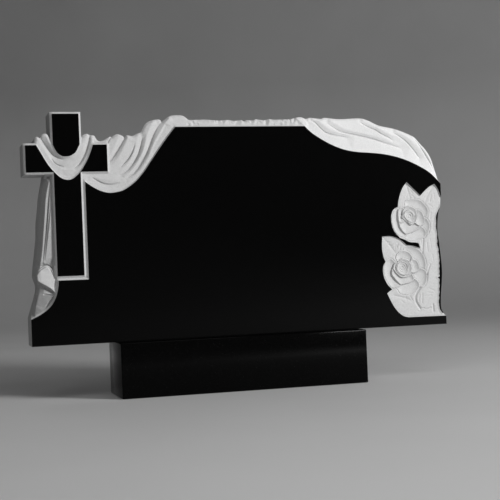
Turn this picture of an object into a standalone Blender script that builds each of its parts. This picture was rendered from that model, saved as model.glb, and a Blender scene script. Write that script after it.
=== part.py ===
# Cross grave tablet: an upright slab of black granite on a low plinth of the same stone.
# The face is polished. The cross, the shroud hung over its arms, the swag, the falling drape, the
# rough top edge and the roses are one carving, cut into the slab below its polished face.
# Units are metres, +Z is up and the polished face looks along -Y.

import math

import bmesh
import bpy
import numpy as np
from mathutils import geometry

# The slab
TABLET_WIDTH = 1.200
TABLET_THICKNESS = 0.100
PANEL_HEIGHT = 0.583  # from the slab's foot to the straight top edge of the polished panel

# The cross: sizes of its polished face
CROSS_FROM_END = 0.110  # its centre line, from the slab's left end
POST_WIDTH = 0.072
ARM_SPAN = 0.219
ARM_HEIGHT = 0.073
ARM_DROP = 0.120  # from the panel's straight top edge down to the underside of the arms
CROSS_RISE = 0.037  # from the same edge up to the top of the post
SHAFT_FOOT = 0.184  # above the slab's foot
CHAMFER = 0.0055  # all round the cross; beside the panel it is one side of a V groove

# The carving: depths below the polished face
CLOTH_DEPTH = 0.011
FOLD_HEIGHT = 0.008
ROUGH_DEPTH = 0.007
LEAF_DEPTH = 0.010
ROSE_HEIGHT = 0.011  # how far a rose's bud stands above the leaves
EDGE_ROLL = 0.012  # how far the cloth turns back along the slab's cut outline
WALL_SLOPE = 2.2  # of the wall between the panel and the carving, depth to width

# The plinth
PLINTH_WIDTH = 0.700
PLINTH_DEPTH = 0.200
PLINTH_HEIGHT = 0.150
PLINTH_ARRIS = 0.003
PLINTH_OFFSET = -0.022  # the plinth's middle, from the middle of the slab's foot
SEAT_GAP = 0.0003  # between the slab's underside and the plinth's top

# How finely the carving is cut
OUTLINE_STEP = 0.011
CLOTH_STEP = 0.013
ROSE_STEP = 0.008
FOLD_GAP = 0.005  # least distance between points along the folds
RIM_STEP = 0.0085
RIM_DROP = 0.0012  # half the width of the step down from a petal's rim
MERGE = 0.0004

ARM_UNDERSIDE = PANEL_HEIGHT - ARM_DROP
CROSS_TOP = PANEL_HEIGHT + CROSS_RISE
LEFT_END = min(0.0, CROSS_FROM_END - ARM_SPAN / 2 - CHAMFER)
MIDDLE_X = (LEFT_END + TABLET_WIDTH) / 2

# Curves on the face are drawn in millimetres from the slab's lower left corner, on a panel of the
# drawn size, and stretched to the sizes above. The shroud is drawn from the cross's centre line
# and the underside of its arms.
DRAWN_WIDTH = 1200
DRAWN_HEIGHT = 583
DRAWN_SPAN = 219
DRAWN_ARM = 73

# The slab's outline, run by run. Each run is smooth, and runs meet at corners.
RIGHT_EDGE = [(1200, 23), (1187, 45), (1187, 80), (1192, 125), (1194, 165), (1189, 235),
              (1185, 275), (1189, 320), (1197, 348), (1200, 373)]
DRAPE_TOP = [(1200, 412), (1189, 451), (1172, 496), (1139, 538), (1120, 554), (1068, 574),
             (1017, 585), (981, 601), (955, 606), (895, 604), (853, 608), (839, 605),
             (808, 608), (795, 605), (780, 610), (762, 608)]
ROUGH_TOP = [(762, 608), (748, 604), (700, 603), (684, 605), (668, 601), (646, 605), (638, 601),
             (618, 602), (611, 598), (604, 602), (580, 600), (566, 603), (538, 601), (500, 604),
             (452, 603)]
SWAG_TOP = [(452, 603), (441, 612), (431, 616), (408, 616), (394, 612), (384, 604)]
SWAG_HUMPS = [[(384, 604), (375, 598)],
              [(375, 598), (369, 605), (347, 602), (332, 595), (323, 583), (316, 570),
               (305, 566), (292, 560), (276, 562), (270, 554)],
              [(270, 554), (266, 560), (252, 565), (242, 562), (235, 556)],
              [(235, 556), (231, 559), (222, 554), (212, 548), (203, 546)]]
SHROUD_RIGHT_TOP = [(93, 83), (86, 86), (81, 93), (77, 99), (65, 100), (58, 104), (47, 100), (42, 94)]
SHROUD_LEFT_TOP = [[(-40, 86), (-43, 94), (-48, 102), (-55, 105), (-63, 102), (-68, 93)],
                   [(-68, 93), (-72, 95), (-77, 97), (-82, 93), (-84, 85), (-85, 78)]]
TAIL_EDGE = [(50, 457), (47, 440), (39, 400), (34, 360), (30, 330), (28, 290), (24, 258),
             (20, 230), (16, 200), (15, 187)]
TAIL_TURN = [(15, 187), (18, 175), (22, 163), (22, 150), (19, 135), (8, 100), (0, 75)]

# Borders between the polished panel and the carving
TAIL_HEM = [(76, 184), (76, 165), (71, 138), (64, 121), (54, 106), (41, 94), (22, 82), (0, 72)]
SWAG_HEM = [(146, 446), (157, 436), (180, 420), (200, 410), (220, 405), (240, 406), (260, 411),
            (280, 423), (300, 439), (320, 462), (340, 490), (380, 545), (411, 583)]
DRAPE_HEM = [(787, 583), (800, 570), (820, 555), (860, 532), (900, 516), (940, 508), (980, 505),
             (1020, 501), (1060, 493), (1100, 480), (1140, 461), (1170, 442), (1200, 412)]
ROSE_BORDER = [[(1190, 24), (1080, 25)],
               [(1080, 25), (1066, 29), (1052, 39), (1040, 53), (1030, 70), (1017, 97)],
               [(1017, 97), (1024, 102), (1033, 108)],
               [(1033, 108), (1020, 122), (1011, 140), (1007, 160), (1009, 177), (1016, 188)],
               [(1016, 188), (1010, 205), (1007, 228), (1009, 262)],
               [(1009, 262), (1035, 262), (1055, 256), (1070, 247), (1084, 235)],
               [(1084, 235), (1097, 233), (1110, 230), (1126, 225)],
               [(1126, 225), (1124, 234), (1119, 240), (1095, 243), (1080, 250), (1064, 256)],
               [(1064, 256), (1045, 280), (1039, 312), (1046, 337), (1062, 347)],
               [(1062, 347), (1064, 362), (1070, 382), (1080, 403), (1092, 418)],
               [(1092, 418), (1105, 406), (1134, 378)],
               [(1134, 378), (1148, 391), (1163, 403), (1180, 411)],
               [(1180, 411), (1190, 397), (1199, 373)]]
SHROUD_OUTER = [(-86, 84), (-70, 55), (-50, 20), (-30, -4), (-14, -17), (2, -21), (16, -17),
                (35, 0), (53, 28), (63, 49), (72, 73)]
SHROUD_INNER = [(36, 74), (26, 55), (18, 48), (8, 43), (-4, 42), (-14, 44), (-26, 54), (-37, 76)]

# Folds of the cloth: a line, how high it stands, and its reach to its left and its right (mm).
# A groove has a negative height. A fold is drawn from its top end down.
SHROUD_FOLDS = [
    ([(-77, 93), (-65, 72), (-52, 49), (-38, 30), (-22, 15), (-4, 6)], 0.7, 9, 12),
    ([(-53, 102), (-44, 77), (-32, 55), (-18, 42), (0, 36)], 0.7, 8, 8),
    ([(-67, 93), (-58, 78), (-49, 65), (-39, 51), (-29, 43), (-18, 37), (-6, 34)], -1.0, 9, 6),
    ([(-41, 38), (-34, 28), (-24, 20), (-8, 14)], -0.5, 6, 5),
    ([(58, 102), (51, 83), (46, 63), (36, 43), (26, 33)], 0.6, 9, 8),
    ([(70, 99), (66, 78), (58, 52), (47, 32), (37, 17), (24, 3)], 0.6, 9, 7),
    ([(65, 98), (61, 78), (53, 53), (42, 33), (30, 18), (18, 10)], -0.8, 6, 8),
]
SWAG_FOLDS = [
    ([(255, 562), (248, 545), (238, 525), (228, 508)], 0.6, 14, 14),
    ([(281, 562), (273, 545), (262, 522), (248, 500), (236, 486)], 0.7, 9, 14),
    ([(308, 565), (300, 535), (290, 510), (275, 485), (255, 465)], 0.5, 14, 12),
    ([(348, 600), (332, 560), (322, 525), (310, 500), (296, 478), (275, 455)], 0.8, 14, 18),
    ([(396, 610), (372, 575), (353, 548), (336, 515), (318, 485), (298, 460), (275, 443)], 0.8, 14, 11),
    ([(172, 436), (195, 421), (220, 416), (248, 419), (275, 432)], 0.4, 9, 9),
    ([(233, 557), (226, 546), (222, 537)], -0.8, 6, 6),
    ([(271, 556), (262, 540), (250, 520), (238, 503), (229, 492)], -1.1, 13, 6),
    ([(297, 532), (288, 512), (277, 496), (255, 474)], -0.6, 10, 8),
    ([(319, 552), (311, 522), (302, 501), (291, 484), (277, 468), (258, 454)], -1.0, 12, 8),
    ([(375, 598), (362, 582), (347, 553), (338, 529), (328, 508), (316, 488), (301, 467), (280, 450)],
     -1.3, 12, 7),
    ([(386, 590), (369, 563), (352, 536), (338, 514)], -0.5, 8, 8),
    ([(178, 446), (204, 433), (226, 429), (252, 432)], -0.6, 8, 7),
]
TAIL_FOLDS = [
    ([(58, 435), (47, 385), (43, 340), (39, 300), (33, 245), (29, 225)], 1.0, 14, 7),
    ([(63, 405), (57, 350), (52, 310), (47, 270), (42, 235)], 0.9, 6, 18),
    ([(62, 430), (54, 385), (49, 340), (45, 300), (40, 250)], -1.0, 5, 5),
    ([(66, 385), (69, 300), (72, 240)], -0.8, 16, 6),
    ([(16, 188), (30, 195), (48, 190), (63, 180)], 0.9, 12, 14),
    ([(18, 172), (40, 156), (66, 140)], -1.0, 7, 12),
    ([(14, 92), (38, 118), (58, 134)], 0.6, 12, 12),
]
DRAPE_FOLDS = [
    ([(797, 600), (816, 586), (834, 570), (855, 556), (880, 546), (915, 538)], 0.6, 9, 18),
    ([(866, 585), (890, 569), (912, 560), (945, 548), (1005, 536), (1066, 517), (1106, 497)], 0.7, 9, 18),
    ([(900, 594), (940, 582), (990, 565), (1030, 549), (1060, 530)], 0.4, 12, 14),
    ([(990, 588), (1030, 572), (1060, 552), (1092, 533), (1120, 505)], 0.5, 12, 12),
    ([(1078, 562), (1107, 545), (1127, 520), (1142, 495), (1157, 475), (1180, 442)], 0.8, 9, 14),
    ([(1127, 549), (1147, 523), (1167, 494), (1185, 455)], 0.5, 7, 8),
    ([(803, 604), (820, 596), (836, 581), (850, 569), (870, 561), (890, 557), (915, 551)], -1.1, 14, 7),
    ([(858, 590), (876, 581), (896, 569), (925, 563), (980, 551), (1036, 534), (1078, 520)], -1.1, 15, 7),
    ([(958, 593), (981, 581), (1006, 571), (1021, 561), (1041, 551), (1056, 541)], -0.8, 9, 6),
    ([(1120, 552), (1141, 526), (1156, 501), (1171, 476), (1186, 446)], -0.8, 8, 9),
]
LEAF_FOLDS = [
    ([(1092, 416), (1097, 392), (1104, 366)], -0.5, 14, 14),
    ([(1180, 408), (1164, 388), (1150, 362)], -0.5, 16, 16),
    ([(1011, 259), (1030, 238), (1050, 210)], -0.6, 14, 14),
    ([(1019, 96), (1048, 78), (1074, 66), (1106, 52)], -0.5, 16, 14),
    ([(1126, 108), (1112, 92), (1110, 74), (1117, 56), (1126, 46)], -0.9, 8, 8),
    ([(1160, 210), (1152, 170), (1148, 140)], -0.3, 12, 12),
]

# Roses: centre, reach, and the turn of the petals in degrees
ROSES = [((1102, 319), 54, 200), ((1070, 171), 60, 160)]
# Rings of petals from the outside in: how many, and their offset, radius and height as shares of
# the rose's reach and of its height
PETAL_RINGS = [(5, 0.34, 0.66, 0.00), (4, 0.22, 0.52, 0.34), (3, 0.11, 0.37, 0.66), (1, 0.00, 0.26, 0.92)]
PETAL_CUP = 0.22  # how far a petal's rim stands above its middle, as a share of the rose's height
PETAL_STAGGER = 0.03  # how far each petal of a ring stands above the one before it, as such a share
PETAL_TWIST = 0.13  # turn of each ring from the ring outside it, in turns


def material(name, colour, roughness):
    finish = bpy.data.materials.new(name)
    finish.use_nodes = True
    shader = finish.node_tree.nodes["Principled BSDF"]
    shader.inputs["Base Color"].default_value = (*colour, 1)
    shader.inputs["Roughness"].default_value = roughness
    shader.inputs["Metallic"].default_value = 0
    return finish


def on_face(points):
    """Points drawn on the panel, in metres from the slab's lower left corner."""
    return np.array(points, float) * (TABLET_WIDTH / DRAWN_WIDTH, PANEL_HEIGHT / DRAWN_HEIGHT)


def on_cross(points):
    """Points drawn from the cross, in metres from the slab's lower left corner."""
    stretch = (ARM_SPAN / DRAWN_SPAN, ARM_HEIGHT / DRAWN_ARM)
    return np.array(points, float) * stretch + (CROSS_FROM_END, ARM_UNDERSIDE)


def smooth(points, step=OUTLINE_STEP):
    """A Catmull-Rom curve through the points, with a point about every step."""
    ends = [2 * points[0] - points[1], *points, 2 * points[-1] - points[-2]]
    curve = []
    for a, b, c, d in zip(ends, ends[1:], ends[2:], ends[3:]):
        count = max(1, round(float(np.linalg.norm(c - b)) / step))
        for t in np.arange(count) / count:
            curve.append(b + t / 2 * (c - a + t * (2 * a - 5 * b + 4 * c - d + t * (3 * b - a - 3 * c + d))))
    return np.array(curve + [points[-1]])


def joined(*runs):
    """Runs laid end to end as one outline, without the doubled corners."""
    outline = [runs[0]]
    for run in runs[1:]:
        repeats = np.linalg.norm(run[0] - outline[-1][-1]) < MERGE
        outline.append(run[1:] if repeats else run)
    return np.concatenate(outline)


def cross_outline(margin):
    """The twelve corners of the cross's face, moved out by a margin."""
    post = POST_WIDTH / 2 + margin
    arm = ARM_SPAN / 2 + margin
    low, high = ARM_UNDERSIDE - margin, ARM_UNDERSIDE + ARM_HEIGHT + margin
    top, foot = CROSS_TOP + margin, SHAFT_FOOT - margin
    right = [(post, foot), (post, low), (arm, low), (arm, high), (post, high), (post, top)]
    left = [(-x, z) for x, z in reversed(right)]
    return np.array(right + left) + (CROSS_FROM_END, 0)


def inside(points, outline):
    """Which points lie inside a closed outline."""
    hits = np.zeros(len(points), bool)
    for (ax, az), (bx, bz) in zip(outline, np.roll(outline, -1, axis=0)):
        if az != bz:
            crosses = (az > points[:, 1]) != (bz > points[:, 1])
            hits ^= crosses & (points[:, 0] < ax + (bx - ax) * (points[:, 1] - az) / (bz - az))
    return hits


def nearest(points, line):
    """Each point's distance to a line, the side it lies on (+1 is left) and its place along it."""
    best = np.full(len(points), np.inf)
    side = np.zeros(len(points))
    along = np.zeros(len(points))
    for index, (a, b) in enumerate(zip(line[:-1], line[1:])):
        run = b - a
        t = np.clip((points - a) @ run / max(run @ run, 1e-12), 0, 1)
        away = points - (a + t[:, None] * run)
        distance = np.hypot(away[:, 0], away[:, 1])
        closer = distance < best
        best = np.where(closer, distance, best)
        turn = np.sign(run[0] * away[:, 1] - run[1] * away[:, 0])
        side = np.where(closer, turn, side)
        along = np.where(closer, (index + t) / (len(line) - 1), along)
    return best, side, along


def stone_outline():
    """The slab's whole outline except the parts of the cross that stand free."""
    foot = np.array([(0, 0), (TABLET_WIDTH, 0)])
    runs = [foot, smooth(on_face(RIGHT_EDGE)), smooth(on_face(DRAPE_TOP)), on_face(ROUGH_TOP),
            smooth(on_face(SWAG_TOP))]
    runs += [smooth(on_face(hump)) for hump in SWAG_HUMPS]
    runs += [smooth(on_cross(SHROUD_RIGHT_TOP))]
    runs += [smooth(on_cross(lobe)) for lobe in SHROUD_LEFT_TOP]
    runs += [on_cross([(-85, 40)]), smooth(on_face(TAIL_EDGE)), smooth(on_face(TAIL_TURN))]
    return joined(*runs)


def closed_over(line, *corners):
    """A border line closed by corners that lie outside the slab."""
    return np.concatenate([line, on_face(corners)])


def carved_regions():
    """The carved parts of the face, each as a closed outline."""
    over, under, far = 700, 0, 1300
    shroud = np.concatenate([
        smooth(on_cross(SHROUD_OUTER)), on_cross([(74, 79), (74, 190), (42, 190), (42, 79)]),
        smooth(on_cross(SHROUD_INNER)), on_cross([(-42, 82), (-42, 190), (-86, 190)])])
    roses = joined(*[smooth(on_face(run), ROSE_STEP) for run in ROSE_BORDER])
    return {
        "shroud": shroud,
        "tail": closed_over(smooth(on_face(TAIL_HEM)), (-60, 72), (-60, 470), (110, 470), (110, 184)),
        "swag": closed_over(smooth(on_face(SWAG_HEM)), (411, over), (110, over), (110, 446)),
        "rough": on_face([(411, 583), (787, 583), (787, over), (411, over)]),
        "drape": closed_over(smooth(on_face(DRAPE_HEM)), (far, 412), (far, over), (787, over)),
        "roses": closed_over(roses, (far, 373), (far, 24)),
    }


def fold_relief(points, folds, place):
    """The height that a group of folds adds to the cloth, in shares of the fold height."""
    relief = np.zeros(len(points))
    stretch = PANEL_HEIGHT / DRAWN_HEIGHT
    for line, height, left, right in folds:
        distance, side, along = nearest(points, smooth(place(line)))
        reach = np.where(side > 0, left, right) * stretch
        near = np.clip(1 - distance / reach, 0, 1)
        profile = near * near * (3 - 2 * near) if height > 0 else near * near
        taper = np.clip(4 * np.minimum(along + 0.15, 1 - along), 0, 1)
        relief += height * taper * profile
    return relief


def petals(centre, reach, turn):
    """Every petal of a rose as the middle of its cup, its radius and its height, outermost first."""
    middle = on_face([centre])[0]
    reach = reach * PANEL_HEIGHT / DRAWN_HEIGHT
    for ring, (count, offset, radius, height) in enumerate(PETAL_RINGS):
        for index in range(count):
            angle = math.radians(turn) + math.tau * (index / count + PETAL_TWIST * ring)
            hub = middle + offset * reach * np.array((math.cos(angle), math.sin(angle)))
            yield hub, radius * reach, ROSE_HEIGHT * (height + PETAL_STAGGER * index)


def rose_relief(points):
    """The height of the roses above the leaves: cupped petals, each hiding the one outside it."""
    relief = np.zeros(len(points))
    for rose in ROSES:
        for hub, radius, level in petals(*rose):
            out = np.linalg.norm(points - hub, axis=1) / radius
            cup = level + ROSE_HEIGHT * PETAL_CUP * out ** 2
            relief = np.where(out < 1, np.maximum(relief, cup), relief)
    return relief


def petal_rims():
    """Points just inside and just outside the part of each petal's rim that shows."""
    rims = []
    for rose in ROSES:
        cups = list(petals(*rose))
        for index, (hub, radius, _) in enumerate(cups):
            angles = np.linspace(0, math.tau, max(8, round(math.tau * radius / RIM_STEP)), endpoint=False)
            spokes = np.column_stack([np.cos(angles), np.sin(angles)])
            shows = np.ones(len(spokes), bool)
            for inner_hub, inner_radius, _ in cups[index + 1:]:
                shows &= np.linalg.norm(hub + radius * spokes - inner_hub, axis=1) > inner_radius
            rims += [hub + (radius - RIM_DROP) * spokes[shows], hub + (radius + RIM_DROP) * spokes[shows]]
    return np.vstack(rims)


def carved_depth(points, regions, outline):
    """How far below the polished face the carving would lie at each point, with no side walls."""
    depth = np.full(len(points), CLOTH_DEPTH)
    folds = {"tail": (TAIL_FOLDS, on_face), "swag": (SWAG_FOLDS, on_face), "drape": (DRAPE_FOLDS, on_face),
             "shroud": (SHROUD_FOLDS, on_cross)}
    for name, (lines, place) in folds.items():
        here = inside(points, regions[name])
        depth[here] = CLOTH_DEPTH - FOLD_HEIGHT * fold_relief(points[here], lines, place)
    here = inside(points, regions["rough"])
    depth[here] = ROUGH_DEPTH
    here = inside(points, regions["roses"])
    leaves = FOLD_HEIGHT * fold_relief(points[here], LEAF_FOLDS, on_face)
    depth[here] = LEAF_DEPTH - leaves - rose_relief(points[here])
    edge, _, _ = nearest(points, np.vstack([outline, outline[:1]]))
    depth += EDGE_ROLL * np.clip(1 - edge / EDGE_ROLL, 0, 1) ** 2
    return np.maximum(depth, 0)


def beside(line, distance):
    """Points at a distance on each side of a line."""
    run = np.gradient(line, axis=0)
    normal = np.column_stack([run[:, 1], -run[:, 0]]) / np.linalg.norm(run, axis=1)[:, None]
    return np.vstack([line + distance * normal, line - distance * normal])


def grid(outline, step):
    """Staggered points over the box that holds an outline."""
    low, high = outline.min(axis=0), outline.max(axis=0)
    rows = []
    for row, z in enumerate(np.arange(low[1], high[1], step * math.sqrt(3) / 2)):
        x = np.arange(low[0] + step / 2 * (row % 2), high[0], step)
        rows.append(np.column_stack([x, np.full(len(x), z)]))
    return np.vstack(rows)


def thinned(points, fixed, gap):
    """The points that keep a gap to all the fixed points and to each other."""
    kept = [tuple(p) for p in fixed]
    cells = {}
    for p in kept:
        cells.setdefault((int(p[0] // gap), int(p[1] // gap)), []).append(p)
    chosen = []
    for x, z in points:
        column, row = int(x // gap), int(z // gap)
        around = [q for i in (-1, 0, 1) for j in (-1, 0, 1) for q in cells.get((column + i, row + j), [])]
        if all((x - u) ** 2 + (z - v) ** 2 >= gap * gap for u, v in around):
            cells.setdefault((column, row), []).append((x, z))
            chosen.append((x, z))
    return np.array(chosen).reshape(-1, 2)


def wall_depth(points, distance):
    """The deepest the stone may be cut at a distance from a polished edge: a chamfer or a wall."""
    beside_cross = inside(points, cross_outline(2.5 * CHAMFER))
    chamfer = np.where(distance < CHAMFER, distance, CHAMFER + WALL_SLOPE * (distance - CHAMFER))
    return np.where(beside_cross, chamfer, WALL_SLOPE * distance)


def is_polished(points, regions, outline):
    """Which points lie on the polished panel or on the cross's polished face."""
    panel = inside(points, outline) & ~inside(points, cross_outline(2 * CHAMFER))
    for region in regions.values():
        panel &= ~inside(points, region)
    return panel | inside(points, cross_outline(0)) & ~inside(points, regions["shroud"])


def sheet_points(regions, outline):
    """The points of the face and the lines that its facets have to follow."""
    hems = [smooth(on_face(TAIL_HEM)), smooth(on_face(SWAG_HEM)), on_face([(411, 583), (787, 583)]),
            smooth(on_face(DRAPE_HEM)), smooth(on_cross(SHROUD_OUTER)), smooth(on_cross(SHROUD_INNER)),
            joined(*[smooth(on_face(run), ROSE_STEP) for run in ROSE_BORDER])]
    rings = [outline, cross_outline(0), cross_outline(CHAMFER), cross_outline(2 * CHAMFER)]
    lines = hems + [np.vstack([ring, ring[:1]]) for ring in rings]
    fixed = np.vstack(lines)
    starts = np.cumsum([0] + [len(line) for line in lines[:-1]])
    edges = [(start + i, start + i + 1) for start, line in zip(starts, lines) for i in range(len(line) - 1)]
    wall = CLOTH_DEPTH / WALL_SLOPE
    feet = thinned(np.vstack([beside(line, wall) for line in hems]), fixed, 0.8 * wall)
    rims = thinned(petal_rims(), fixed, RIM_DROP)
    folds = [smooth(on_cross(line), ROSE_STEP) for line, _, _, _ in SHROUD_FOLDS]
    for group in (TAIL_FOLDS, SWAG_FOLDS, DRAPE_FOLDS, LEAF_FOLDS):
        folds += [smooth(on_face(line)) for line, _, _, _ in group]
    close = np.vstack([feet, rims])
    close = np.vstack([close, thinned(np.vstack(folds), np.vstack([fixed, close]), FOLD_GAP)])
    fill = []
    for name, region in regions.items():
        step = ROSE_STEP if name == "roses" else CLOTH_STEP
        stone = grid(np.clip(region, outline.min(axis=0), outline.max(axis=0)), step)
        stone = stone[inside(stone, region)]
        fill.append(thinned(stone, np.vstack([fixed, close]), 0.6 * step))
    loose = np.vstack([close, *fill])
    carved = ~is_polished(loose, regions, outline) & inside(loose, outline)
    return np.vstack([fixed, loose[carved]]), edges


def face_sheet():
    """The carved and polished face as points, triangles and which triangles are polished."""
    outline = stone_outline()
    regions = carved_regions()
    points, edges = sheet_points(regions, outline)
    points, _, triangles, _, _, _ = geometry.delaunay_2d_cdt(
        [tuple(p) for p in points], edges, [], 0, MERGE, False)
    points = np.array([tuple(p) for p in points])
    triangles = np.array(triangles)
    middles = points[triangles].mean(axis=1)
    triangles = triangles[inside(middles, outline) | inside(middles, cross_outline(CHAMFER))]
    polished = is_polished(points[triangles].mean(axis=1), regions, outline)

    counts = {}
    for triangle, bright in zip(triangles, polished):
        for a, b in zip(triangle, np.roll(triangle, -1)):
            counts.setdefault((min(a, b), max(a, b)), []).append(bright)
    rims = [edge for edge, sides in counts.items() if True in sides and False in sides]
    distance = np.full(len(points), np.inf)
    for a, b in rims:
        distance = np.minimum(distance, nearest(points, points[[a, b]])[0])
    depth = np.minimum(carved_depth(points, regions, outline), wall_depth(points, distance))
    depth[np.unique(triangles[polished])] = 0
    return points, triangles, polished, depth


def build_tablet(collection):
    """The slab: the carved face, and the stone behind it to a flat back."""
    points, triangles, polished, depth = face_sheet()
    front = -TABLET_THICKNESS / 2
    foot = PLINTH_HEIGHT + SEAT_GAP
    shape = bmesh.new()
    used = {i: shape.verts.new((points[i][0] - MIDDLE_X, front + depth[i], foot + points[i][1]))
            for i in np.unique(triangles)}
    for triangle, bright in zip(triangles, polished):
        face = shape.faces.new([used[i] for i in triangle])
        face.material_index = 0 if bright else 1
    behind = bmesh.ops.extrude_face_region(shape, geom=shape.faces[:])["geom"]
    back = [item for item in behind if isinstance(item, bmesh.types.BMVert)]
    for corner in back:
        corner.co.y = TABLET_THICKNESS / 2
    back_edges = {edge for corner in back for edge in corner.link_edges
                  if all(abs(end.co.y - TABLET_THICKNESS / 2) < MERGE for end in edge.verts)}
    shape.normal_update()
    bmesh.ops.dissolve_limit(shape, angle_limit=0.01, verts=back, edges=list(back_edges))
    bmesh.ops.triangulate(shape, faces=[face for face in shape.faces if len(face.verts) > 4])
    bmesh.ops.recalc_face_normals(shape, faces=shape.faces)
    mesh = bpy.data.meshes.new("tablet")
    shape.to_mesh(mesh)
    shape.free()
    mesh.materials.append(material("polished black granite", (0.012, 0.012, 0.013), 0.12))
    mesh.materials.append(material("carved granite", (0.56, 0.56, 0.56), 0.75))
    collection.objects.link(bpy.data.objects.new("tablet", mesh))


def build_plinth(collection):
    """The plinth: a squared block with a small arris, under the slab's foot."""
    shape = bmesh.new()
    bmesh.ops.create_cube(shape, size=1)
    bmesh.ops.scale(shape, vec=(PLINTH_WIDTH, PLINTH_DEPTH, PLINTH_HEIGHT), verts=shape.verts)
    middle = TABLET_WIDTH / 2 - MIDDLE_X + PLINTH_OFFSET
    bmesh.ops.translate(shape, vec=(middle, 0, PLINTH_HEIGHT / 2), verts=shape.verts)
    mesh = bpy.data.meshes.new("plinth")
    shape.to_mesh(mesh)
    shape.free()
    mesh.materials.append(material("polished plinth granite", (0.02, 0.02, 0.021), 0.15))
    block = bpy.data.objects.new("plinth", mesh)
    collection.objects.link(block)
    arris = block.modifiers.new("arris", "BEVEL")
    arris.width = PLINTH_ARRIS
    arris.segments = 1


for leftover in list(bpy.data.objects):
    bpy.data.objects.remove(leftover, do_unlink=True)
memorial = bpy.data.collections.new("cross_grave_tablet")
bpy.context.scene.collection.children.link(memorial)
build_plinth(memorial)
build_tablet(memorial)
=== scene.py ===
# Cross grave tablet of polished black gabbro, carved along its top and ends, on a polished plinth.
# +Z is up and the polished face looks along -Y. The scene is in metres; what is drawn on the face is
# in millimetres, from the slab's lower left corner, and is brought to metres at the end.

import math

import bpy
import numpy as np
from mathutils import Matrix, Vector, geometry, kdtree


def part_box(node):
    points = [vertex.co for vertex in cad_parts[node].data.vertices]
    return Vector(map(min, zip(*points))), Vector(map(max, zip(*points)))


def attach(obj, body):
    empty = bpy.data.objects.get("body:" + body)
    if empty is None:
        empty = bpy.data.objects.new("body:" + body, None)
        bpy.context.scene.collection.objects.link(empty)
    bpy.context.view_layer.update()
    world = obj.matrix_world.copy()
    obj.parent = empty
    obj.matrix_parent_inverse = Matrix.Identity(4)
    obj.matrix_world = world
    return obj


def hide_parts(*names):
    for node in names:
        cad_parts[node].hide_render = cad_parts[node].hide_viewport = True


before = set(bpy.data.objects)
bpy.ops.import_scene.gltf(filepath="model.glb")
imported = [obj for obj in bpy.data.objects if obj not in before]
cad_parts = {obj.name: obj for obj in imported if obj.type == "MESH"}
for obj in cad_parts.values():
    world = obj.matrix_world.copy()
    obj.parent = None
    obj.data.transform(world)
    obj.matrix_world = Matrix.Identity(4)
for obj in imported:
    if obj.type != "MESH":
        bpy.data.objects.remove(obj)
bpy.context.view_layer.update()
MM = 0.001


# PLINTH
# A squared block of black gabbro, sawn and then polished on its seen faces. Its arrises are eased
# by hand with a pad, and its underside stays as the saw left it.
PLINTH_ARRIS = 3 * MM
GABBRO = "#050505"
GABBRO_CRYSTAL = "#090909"
CRYSTALS = 380  # to the metre, so 2.6 mm each
BUFFED_PATCHES = 240  # to the metre, so 4 mm each


def linear(colour):
    """An sRGB hex colour as linear red, green, blue and alpha."""
    parts = [int(colour[i:i + 2], 16) / 255 for i in (1, 3, 5)]
    return (*[p / 12.92 if p <= 0.04045 else ((p + 0.055) / 1.055) ** 2.4 for p in parts], 1)


def node(tree, kind, inputs=None, stops=(), **settings):
    """Adds a node with its settings and links. An input takes a value, or another node's output as
    (node, output name), and a colour ramp takes its stops as (position, hex colour)."""
    made = tree.nodes.new(kind)
    for name, value in settings.items():
        setattr(made, name, value)
    for name, value in (inputs or {}).items():
        if isinstance(value, tuple) and len(value) == 2 and isinstance(value[0], bpy.types.Node):
            tree.links.new(value[0].outputs[value[1]], made.inputs[name])
        else:
            made.inputs[name].default_value = value
    while len(stops) > 2 and len(made.color_ramp.elements) < len(stops):
        made.color_ramp.elements.new(0.5)
    for number, (position, colour) in enumerate(stops):
        made.color_ramp.elements[number].position = position
        made.color_ramp.elements[number].color = linear(colour)
    return made


def new_material(name):
    """An empty material, its node tree, its shader and the object's own coordinates."""
    made = bpy.data.materials.new(name)
    made.use_nodes = True
    tree = made.node_tree
    return made, tree, tree.nodes["Principled BSDF"], node(tree, "ShaderNodeTexCoord")


def polished_gabbro(name, specular):
    """Black gabbro, ground and buffed to a mirror: black feldspar with a few paler crystals that only
    just show under the gloss, and a sheen that is a little duller in patches where the pad went."""
    made, tree, shader, place = new_material(name)
    crystals = node(tree, "ShaderNodeTexVoronoi", {"Vector": (place, "Object"), "Scale": CRYSTALS})
    fleck = node(tree, "ShaderNodeValToRGB", {"Fac": (crystals, "Color")},
                 [(0.0, GABBRO), (0.8, GABBRO), (1.0, GABBRO_CRYSTAL)])
    grain = node(tree, "ShaderNodeTexNoise",
                 {"Vector": (place, "Object"), "Scale": BUFFED_PATCHES, "Detail": 3})
    tree.links.new(fleck.outputs["Color"], shader.inputs["Base Color"])
    buffed = node(tree, "ShaderNodeMapRange", {"Value": (grain, "Fac"), "To Min": 0.07, "To Max": 0.13})
    tree.links.new(buffed.outputs["Result"], shader.inputs["Roughness"])
    shader.inputs["IOR"].default_value = 1.5
    shader.inputs["Specular IOR Level"].default_value = specular
    return made


PLINTH_POLISH = polished_gabbro("black gabbro, mirror polished plinth", 0.06)

low, high = (Vector(corner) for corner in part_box("plinth"))
bpy.ops.object.select_all(action="DESELECT")
bpy.ops.mesh.primitive_cube_add(size=1, location=(low + high) / 2)
plinth = bpy.context.object
plinth.name = "polished_plinth"
plinth.scale = high - low
bpy.ops.object.transform_apply(location=True, rotation=True, scale=True)
arris = plinth.modifiers.new("arris", "BEVEL")
arris.width = PLINTH_ARRIS
arris.segments = 3
bpy.ops.object.modifier_apply(modifier=arris.name)
bpy.ops.object.shade_smooth_by_angle(angle=math.radians(35))
plinth.data.materials.append(PLINTH_POLISH)
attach(plinth, "root")
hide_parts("plinth")


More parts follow.
